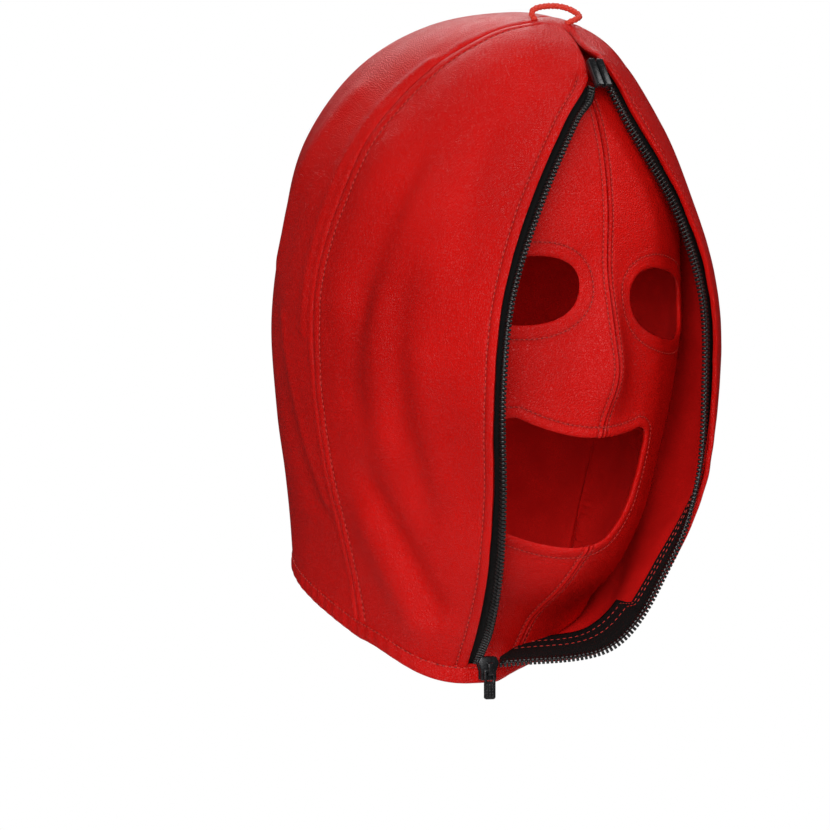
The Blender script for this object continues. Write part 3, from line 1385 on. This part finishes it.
def ease_ring(line, passes):
    """Softens the corners of a closed line."""
    ring = line[:-1]
    for _ in range(passes):
        ring = 0.5 * ring + 0.25 * (np.roll(ring, 1, axis=0) + np.roll(ring, -1, axis=0))
    return np.vstack([ring, ring[:1]])


hem_line = ease_ring(hem_path(), HEM_EASING)
hem_along = unit(np.roll(hem_line[:-1], -1, axis=0) - np.roll(hem_line[:-1], 1, axis=0))
hem_along = np.vstack([hem_along, hem_along[:1]])
hem_out = unit(np.stack([hem_along[:, 1], -hem_along[:, 0], np.zeros(len(hem_along))], axis=1))
hem_out = hem_out * np.sign(np.sum(hem_out * (hem_line - hem_line.mean(axis=0)) * (1, 1, 0)))
hem_turn = np.linspace(0, 2 * math.pi, HEM_SIDES + 1)
hem_cos, hem_sin = np.cos(hem_turn), np.sin(hem_turn)
hem_reach = (np.abs(hem_cos) ** HEM_SQUARE + np.abs(hem_sin) ** HEM_SQUARE) ** (-1 / HEM_SQUARE)
hem_upright = HEM_HALF_HEIGHT * hem_sin * hem_reach
hem_gone = lengths_along(hem_line)
hem_round = 2 * math.pi * hem_gone / hem_gone[-1]
hem_pucker = sum(
    pucker["height"] * np.sin(np.round(hem_gone[-1] / pucker["length"]) * hem_round + pucker["shift"])
    for pucker in HEM_PUCKERS
)
outer_face = np.clip(hem_cos, 0, 1)
hem_groove = HEM_GROOVE["depth"] * outer_face * hump(hem_upright, HEM_STITCH, HEM_GROOVE["width"])
across_reach = HEM_HALF_WALL * hem_cos * hem_reach - hem_groove
across_reach = across_reach[None] + hem_pucker[:, None] * outer_face[None]
hem_middle = hem_line - hem_out * HEM_INSET - (0, 0, HEM_DROP)
hem_points = hem_middle[:, None] + hem_out[:, None] * across_reach[..., None]
hem_points = hem_points + np.array([0, 0, 1.0]) * hem_upright[None, :, None]
hem_bm = shaped_grid(hem_points, closed_across=True)
groove_layer(hem_bm, hem_points, np.tile(0.9 * hem_groove, (len(hem_line), 1)))
hem_binding = new_piece("hem_binding", hem_bm, outer_leather)
dress(hem_binding, "neck_binding")
hem_stitch_line = hem_middle + hem_out * (HEM_HALF_WALL - 0.35) + (0, 0, HEM_STITCH)
sew(outer_stitches, hem_stitch_line, hem_out)
outer_topstitching = new_piece("topstitching_outer", outer_stitches, red_thread, needle_hole)
dress(outer_topstitching)

# %% [markdown]
# ## Zip
#
# The zip's two tapes are sewn behind the free edges of the front panels, and stand out past them
# by a few millimetres with the teeth on their lips. A tape is a thin strip with a cord-like lip,
# and its two rows of red stitches show on the inside of the open front. The strip follows the
# edge of the leather, so its places come from the same front sections.

# %% Zip strip helpers
TAPE_UNDER = {"right": (9, 9), "left": (9, 27)}  # above and below the jog
TAPE_JOG_ROWS = (8.50, 8.58)
TAPE_TAIL = {"right": 3.5, "left": 0.4}  # past the panels' lower edge, behind the binding
TAPE_BEYOND = 2.4
TAPE_WALL = 1.0
TAPE_DEPTH = OUTER_LEATHER + 2 * GAP
CHAIN_REACHES = (TAPE_BEYOND + GAP, TAPE_BEYOND + GAP + 2.6)
CHAIN_DEPTH = TAPE_DEPTH + TAPE_WALL / 2
ZIP_FADE = (0.6, 1.3)
TOOTH_PITCH = 1.75
ZIP_STEPS = 900                # in which a panel's edge is followed to measure it


def smooth_step(values, low, high):
    share = np.clip((values - low) / (high - low), 0, 1)
    return share * share * (3 - 2 * share)


def fade_in(rows):
    """How far the tapes have come out from behind the leather, from 0 at the zip's top to 1."""
    return smooth_step(rows, ZIP_TOP_ROW - ZIP_FADE[0], ZIP_TOP_ROW + ZIP_FADE[1])


def edge_strip(name, reaches, rows):
    """Places and outward directions at each reach from a panel's edge, for each row."""
    side = SIDES[name]
    curl = np.radians(side["curl"](rows))
    turned, kept = np.sin(curl)[:, None, None], np.cos(curl)[:, None, None]
    edge = side["edge"](rows)
    along = unit(side["edge"](rows + NUDGE) - side["edge"](rows - NUDGE))[:, None]
    speed = 3 * PANEL_FULLNESS * np.linalg.norm(side["seam"](rows) - edge, axis=1)
    reaches = np.broadcast_to(reaches, (len(rows), np.shape(reaches)[-1]))
    back_share = 1 + np.minimum(reaches, 0) / speed[:, None]
    point = front_points(side, back_share, rows)
    across = point - front_points(side, back_share - NUDGE, rows)
    across = unit(across - along * np.sum(across * along, axis=2, keepdims=True))
    outward = unit(np.cross(across, along) * side["sign"])
    free = (reaches > 0)[..., None]
    curled = across * kept - outward * turned
    outward = np.where(free, outward * kept + across * turned, outward)
    across = np.where(free, curled, across)
    shown = np.maximum(reaches, 0)
    shown = shown - TAPE_BEYOND * (1 - fade_in(rows))[:, None] * np.minimum(shown / TAPE_BEYOND, 1)
    return point + across * shown[..., None], outward


def zip_rows(name, step):
    """Rows at even steps along a panel's edge, from the zip's top to its end."""
    tries = np.linspace(ZIP_TOP_ROW + 0.04, ZIP_END_ROW[name], ZIP_STEPS)
    gone = lengths_along(SIDES[name]["edge"](tries))
    return np.interp(np.arange(0, gone[-1], step), gone, tries)


print("zip helpers are ready")

# %% [markdown]
# A tape is one closed strip with a front and a rear face. At the lower left it widens with a jog
# into a broad facing, which shows inside the open front with its two rows of red stitches.

# %% Weave the tapes
TAPE_STEP = 1.1
TAPE_PITCH = 2.6
TAPE_THREAD = 0.17
TAPE_STITCHES = {"right": (-3.2, -7.6), "left": (-9.5, -19.5)}  # rows of stitches, at the lower end
tape_stitches = bmesh.new()


def zip_tape(name):
    """Weaves one tape and sews its two rows of stitches."""
    rows = zip_rows(name, TAPE_STEP)
    narrow, wide = TAPE_UNDER[name]
    under = narrow + (wide - narrow) * smooth_step(rows, *TAPE_JOG_ROWS)
    shares = np.concatenate([np.linspace(-1, 0, 14), np.linspace(0.66, 1, 5)])
    reaches = np.where(shares < 0, shares * under[:, None], shares * TAPE_BEYOND)
    places, outward = edge_strip(name, reaches, rows)
    tail = places[-1:] + TAPE_TAIL[name] * unit(places[-1:] - places[-2:-1])
    places = np.concatenate([places, tail])
    outward = np.concatenate([outward, outward[-1:]])
    reaches = np.concatenate([reaches, reaches[-1:]])
    bulge = 0.22 * hump(reaches, TAPE_BEYOND - 0.5, 0.5)[..., None]
    waves = 0.12 * soft_noise(places, 6.0, 21)[..., None]
    front = places - outward * (TAPE_DEPTH + 0.35 - bulge - waves)
    rear = places - outward * (TAPE_DEPTH + TAPE_WALL + 0.05 + bulge - waves)
    ring = np.concatenate([front, rear[:, ::-1], front[:, :1]], axis=1)
    gone = lengths_along(places[:, len(shares) // 2])
    lay = np.concatenate([reaches, reaches[:, ::-1], reaches[:, :1]], axis=1)
    uv = np.stack([lay, np.broadcast_to(gone[:, None], lay.shape)], axis=-1)
    bm = shaped_grid(ring, closed_across=True, uv=uv)
    close_ends(bm)
    piece = new_piece("tape_" + name, bm, tape_cloth)
    dress(piece, "zip_tape_" + name)
    for reach in TAPE_STITCHES[name]:
        column = int(np.argmin(np.abs(reaches[-1] - reach)))
        sew(tape_stitches, rear[:, column], -outward[:, column], TAPE_PITCH, TAPE_THREAD)


for name in SIDES:
    zip_tape(name)
tape_topstitching = new_piece("topstitching_tape", tape_stitches, red_thread, tape_cloth)
dress(tape_topstitching)

# %% [markdown]
# A moulded tooth is a small block with a waist and a rounded head that locks behind its
# neighbours. Hundreds are needed, so one tooth of a few dozen faces is made and stamped along
# the lip of each tape.

# %% Mould the teeth
TOOTH_CORD_RADIUS = 0.7
TOOTH_CORD_SIDES = 8
TOOTH = dict(
    size=(3.3, 1.16, 2.3), waist_at=0.45, waist=(1, 0.62, 0.8), head_from=1.2, head=(1, 1.12, 0.86),
    edge=0.2, sunk=0.35, root=1.1,
)


def tooth_template():
    """One tooth: x along its reach out of the tape, y along the zip, z through the tape."""
    bm = bmesh.new()
    bmesh.ops.create_cube(bm, size=1.0)
    bmesh.ops.scale(bm, vec=TOOTH["size"], verts=bm.verts[:])
    waist = bmesh.ops.bisect_plane(bm, geom=bm.verts[:] + bm.edges[:] + bm.faces[:], dist=1e-5,
                                   plane_co=(TOOTH["waist_at"], 0, 0), plane_no=(1, 0, 0))
    cut = [part for part in waist["geom_cut"] if isinstance(part, bmesh.types.BMVert)]
    bmesh.ops.scale(bm, vec=TOOTH["waist"], verts=cut)
    head = [vert for vert in bm.verts if vert.co.x > TOOTH["head_from"]]
    bmesh.ops.scale(bm, vec=TOOTH["head"], verts=head)
    bmesh.ops.bevel(bm, geom=bm.edges[:], offset=TOOTH["edge"], offset_type="OFFSET", affect="EDGES",
                    segments=1, profile=0.5, material=-1)
    mesh = bpy.data.meshes.new("tooth_template")
    bm.to_mesh(mesh)
    bm.free()
    return mesh


def zip_teeth(name, template):
    """Stamps the teeth along one tape, on the cord that carries them."""
    rows = zip_rows(name, TOOTH_PITCH)
    middle = (CHAIN_REACHES[0] + CHAIN_REACHES[1]) / 2 - TOOTH["sunk"]
    places, outward = edge_strip(name, (middle - TOOTH["root"], middle), rows)
    bm = bmesh.new()
    for inner, place, out in zip(places[:, 0], places[:, 1], outward[:, 1]):
        x = Vector(place - inner).normalized()
        z = Vector(out)
        z = (z - x * z.dot(x)).normalized()
        turn = Matrix((x, z.cross(x), z)).transposed().to_4x4()
        spot = Vector(in_frame(place - out * CHAIN_DEPTH))
        stamp(bm, template, Matrix.Translation(spot) @ turn @ Matrix.Scale(MM, 4))
    cord = places[:, 0] - outward[:, 0] * CHAIN_DEPTH
    add_bmesh(bm, closed_tube(cord, TOOTH_CORD_RADIUS, TOOTH_CORD_SIDES))
    piece = new_piece("teeth_" + name, bm, tooth_black)
    dress(piece, "zip_chain_" + name)
    print("teeth on the", name, len(rows))


tooth = tooth_template()
for name in SIDES:
    zip_teeth(name, tooth)
bpy.data.meshes.remove(tooth)

# %% [markdown]
# ## Zip top, slider and pull
#
# At the top the two rows of teeth end in one moulded stop with a groove down its middle. At the
# bottom the slider waits, with its pull hanging from a small bail. These are hard pieces with
# soft cast edges: a block is cut to shape, and then every edge is bevelled.

# %% Mould the zip's top stop
ZIP_TOP = dict(
    width=7.2, length=13, wall=3.2, at=(-1.6, -86.6, 90.4), tilt=-32, half_groove=0.35, foot=0.4,
    rail_edge=0.55, plate=1.6, inset=0.3, plate_edge=0.3,
)


def hard_piece(name, bm, node, body="hood"):
    """Finishes a lacquered piece, with crisp lines where its faces meet at an angle."""
    bmesh.ops.recalc_face_normals(bm, faces=bm.faces[:])
    piece = new_piece(name, bm, lacquer)
    piece.data.set_sharp_from_angle(angle=math.radians(40))
    dress(piece, node, body)


def outlined_block(outline, low, high, edge, segments=2, window=None):
    """A block between two heights over an outline, with every edge rounded.

    A window is an inner outline with as many points as the outer one.
    """
    bm = bmesh.new()
    outer = [bm.verts.new((x, y, low)) for x, y in outline]
    if window is None:
        bm.faces.new(outer)
    else:
        inner = [bm.verts.new((x, y, low)) for x, y in window]
        for k in range(len(outer)):
            bm.faces.new((outer[k - 1], outer[k], inner[k], inner[k - 1]))
    raised = bmesh.ops.extrude_face_region(bm, geom=bm.faces[:], use_keep_orig=True)
    lifted = [part for part in raised["geom"] if isinstance(part, bmesh.types.BMVert)]
    bmesh.ops.translate(bm, vec=(0, 0, high - low), verts=lifted)
    bmesh.ops.recalc_face_normals(bm, faces=bm.faces[:])
    sharp = [line for line in bm.edges if line.is_manifold and line.calc_face_angle() > math.radians(35)]
    bmesh.ops.bevel(bm, geom=sharp, offset=edge, offset_type="OFFSET", affect="EDGES", segments=segments,
                    profile=0.5, clamp_overlap=True, loop_slide=False, material=-1)
    return bm


def rounded_rectangle(left, right, bottom, top, corner, steps=5):
    """A rectangle's outline with quarter-round corners."""
    points = []
    for k, (x, y) in enumerate(((right, top), (left, top), (left, bottom), (right, bottom))):
        centre_x = x - math.copysign(corner, x - (left + right) / 2)
        centre_y = y - math.copysign(corner, y - (bottom + top) / 2)
        for angle in np.linspace(0, math.pi / 2, steps) + k * math.pi / 2:
            points.append((centre_x + corner * math.cos(angle), centre_y + corner * math.sin(angle)))
    return points


def box_outline(left, right, bottom, top):
    return [(left, bottom), (right, bottom), (right, top), (left, top)]


stop_bm = bmesh.new()
half, tall = ZIP_TOP["width"] / 2, ZIP_TOP["length"] / 2
groove, inset = ZIP_TOP["half_groove"], ZIP_TOP["inset"]
for low, high in ((-half, -groove), (groove, half)):
    rail = box_outline(low, high, ZIP_TOP["foot"], ZIP_TOP["wall"])
    add_bmesh(stop_bm, outlined_block(rail, -tall, tall, ZIP_TOP["rail_edge"], 3))
plate = box_outline(-half + inset, half - inset, 0, ZIP_TOP["plate"])
add_bmesh(stop_bm, outlined_block(plate, -tall + inset, tall - inset, ZIP_TOP["plate_edge"]))
stop_turn = Matrix.Rotation(math.pi + math.radians(ZIP_TOP["tilt"]), 4, "X")
set_in_place(stop_bm, ZIP_TOP["at"], stop_turn)
hard_piece("zip_top_stop", stop_bm, "zip_top_end")

# %% [markdown]
# The slider is two plates with a wedge between them, which parts the teeth, and a bail on its
# front plate that holds the pull. Each is an outline raised to a block.

# %% Cast the slider
SLIDER = dict(top_width=9, bottom_width=6.6, length=9.6, wall=4.2, corner=1.2, plate=1.25, edge=0.35)
WEDGE = dict(half_width=1.3, low=0.8, inset=0.3, corner=0.6, sunk=0.6, edge=0.1)
BAIL = dict(half_opening=2, bar=0.7, height=2.1, width=2, corner=0.6, sunk=0.5, edge=0.16)
SLIDER_AT = (-30, -51.1, -150.5)
SLIDER_FACING = math.radians(16)
slider_turn = Matrix((
    (math.cos(SLIDER_FACING), 0, -math.sin(SLIDER_FACING)),
    (-math.sin(SLIDER_FACING), 0, -math.cos(SLIDER_FACING)),
    (0, 1, 0),
)).to_4x4()
top, low, tall = SLIDER["top_width"] / 2, SLIDER["bottom_width"] / 2, SLIDER["length"]
body_outline = [
    (-low, -tall / 2), (low, -tall / 2), (low, -tall / 8), (top, tall / 4),
    (top - SLIDER["corner"], tall / 2), (-top + SLIDER["corner"], tall / 2),
    (-top, tall / 4), (-low, -tall / 8),
]
slider_bm = bmesh.new()
for under in (-SLIDER["plate"], -SLIDER["wall"]):
    add_bmesh(slider_bm, outlined_block(body_outline, under, under + SLIDER["plate"], SLIDER["edge"], 3))
wedge = rounded_rectangle(-WEDGE["half_width"], WEDGE["half_width"], WEDGE["low"],
                          tall / 2 - WEDGE["inset"], WEDGE["corner"])
add_bmesh(slider_bm, outlined_block(wedge, WEDGE["sunk"] - SLIDER["wall"], -WEDGE["sunk"], WEDGE["edge"], 1))
reach, crest = BAIL["half_opening"] + BAIL["bar"], BAIL["height"] + BAIL["bar"]
opening, sunk, soft = BAIL["half_opening"], -BAIL["sunk"], BAIL["corner"]
arch = [
    (-reach, sunk), (-opening, sunk), (-opening, BAIL["height"]), (opening, BAIL["height"]),
    (opening, sunk), (reach, sunk), (reach, crest - soft), (reach - soft, crest),
    (-reach + soft, crest), (-reach, crest - soft),
]
bail_bm = outlined_block(arch, -BAIL["width"] / 2, BAIL["width"] / 2, BAIL["edge"])
upright = Matrix(((0, 0, 1), (1, 0, 0), (0, 1, 0))).to_4x4()
bmesh.ops.transform(bail_bm, matrix=upright, verts=bail_bm.verts[:])
add_bmesh(slider_bm, bail_bm)
set_in_place(slider_bm, SLIDER_AT, slider_turn)
hard_piece("slider", slider_bm, "zip_slider")

# %% [markdown]
# The pull is a stamped tab: a window that the bail passes through, two rails beside it, and a
# solid lower half with rows of small raised dots for grip.

# %% Stamp the pull
PULL = dict(width=4.8, wall=1.2, bar=0.6, window=3.7, window_width=2.7, length=11.6, corner=1)
PULL_AXIS = (-0.9, 1.05)
GRIP = dict(rows=5, columns=3, row_step=1.15, column_step=1.25, first=-5.7, dot=0.42, height=0.3)
half, slot_half = PULL["width"] / 2, PULL["window_width"] / 2
tab = rounded_rectangle(-half, half, -PULL["length"], PULL["bar"], PULL["corner"])
tab_window = rounded_rectangle(-slot_half, slot_half, -PULL["bar"] - PULL["window"], -PULL["bar"], 0.5)
pull_bm = bmesh.new()
dot = stitch_template(GRIP["height"], GRIP["dot"])
for row in range(GRIP["rows"]):
    for column in range(GRIP["columns"]):
        x = (column - 1) * GRIP["column_step"]
        y = GRIP["first"] - row * GRIP["row_step"]
        for face in (-1, 1):
            stamp(pull_bm, dot, Matrix.Translation((x, y, face * PULL["wall"] / 2)))
bpy.data.meshes.remove(dot)
add_bmesh(pull_bm, outlined_block(tab, -PULL["wall"] / 2, PULL["wall"] / 2, 0.22, 2, window=tab_window))
bmesh.ops.translate(pull_bm, vec=(0, *PULL_AXIS), verts=pull_bm.verts[:])
set_in_place(pull_bm, SLIDER_AT, slider_turn)
hard_piece("pull_tab", pull_bm, "zip_pull", body="pull")

# %% [markdown]
# ## Floor and light
#
# The hood is lit as a studio photograph is: one large soft light near the camera, a second on its
# left, one from behind and above, and a weak one on each side for the edges. The camera sees a
# white surround that lights the hood only a little, so the red keeps its depth. A floor well
# below the hood takes no part in the main picture.

# %% Studio
FLOOR_DROP = 0.40
FLOOR_SIZE = 0.30
floor_bm = bmesh.new()
bmesh.ops.create_grid(floor_bm, x_segments=2, y_segments=2, size=FLOOR_SIZE)
bmesh.ops.translate(floor_bm, vec=(0, 0, -FLOOR_DROP), verts=floor_bm.verts[:])
floor_material, _, floor_shader = start_material("pale_floor")
floor_shader.inputs["Base Color"].default_value = (0.9, 0.9, 0.9, 1)
floor_shader.inputs["Roughness"].default_value = 0.9
floor = new_piece("floor", floor_bm, floor_material)

HOOD_MIDDLE = Vector((0, 0, -0.14))


def soft_light(name, across, forward, height, size, watts):
    """A square light that faces the hood, placed from the camera's own directions."""
    data = bpy.data.lights.new(name, "AREA")
    data.size = size
    data.energy = watts
    light = bpy.data.objects.new(name, data)
    bpy.context.scene.collection.objects.link(light)
    light.location = HOOD_MIDDLE + camera_right * across + to_camera * forward + upward * height
    light.rotation_euler = (HOOD_MIDDLE - light.location).to_track_quat("-Z", "Y").to_euler()
    print(name, [round(part, 2) for part in light.location])


soft_light("key", across=0.12, forward=1.45, height=0.30, size=0.7, watts=13.5)
soft_light("fill", across=-0.55, forward=1.35, height=0.42, size=0.7, watts=9)
soft_light("top", across=-0.1, forward=-0.6, height=0.8, size=0.8, watts=7)
soft_light("right_edge", across=0.95, forward=0.15, height=0.75, size=0.5, watts=4)
soft_light("left_edge", across=-1.3, forward=-0.1, height=0.25, size=0.6, watts=1.6)

world = bpy.data.worlds.new("studio")
bpy.context.scene.world = world
world.use_nodes = True
world_tree = world.node_tree
seen = world_tree.nodes["Background"]
seen.inputs["Color"].default_value = (1, 1, 1, 1)
lighting = add_node(world_tree, "Background", {"Color": (1.0, 1.0, 1.0, 1), "Strength": 0.04})
camera_ray = add_node(world_tree, "LightPath").outputs["Is Camera Ray"]
mixed = add_node(world_tree, "MixShader", {"Fac": camera_ray})
world_tree.links.new(lighting.outputs[0], mixed.inputs[1])
world_tree.links.new(seen.outputs[0], mixed.inputs[2])
world_tree.links.new(mixed.outputs[0], world_tree.nodes["World Output"].inputs["Surface"])
bpy.context.scene.view_settings.view_transform = "Standard"
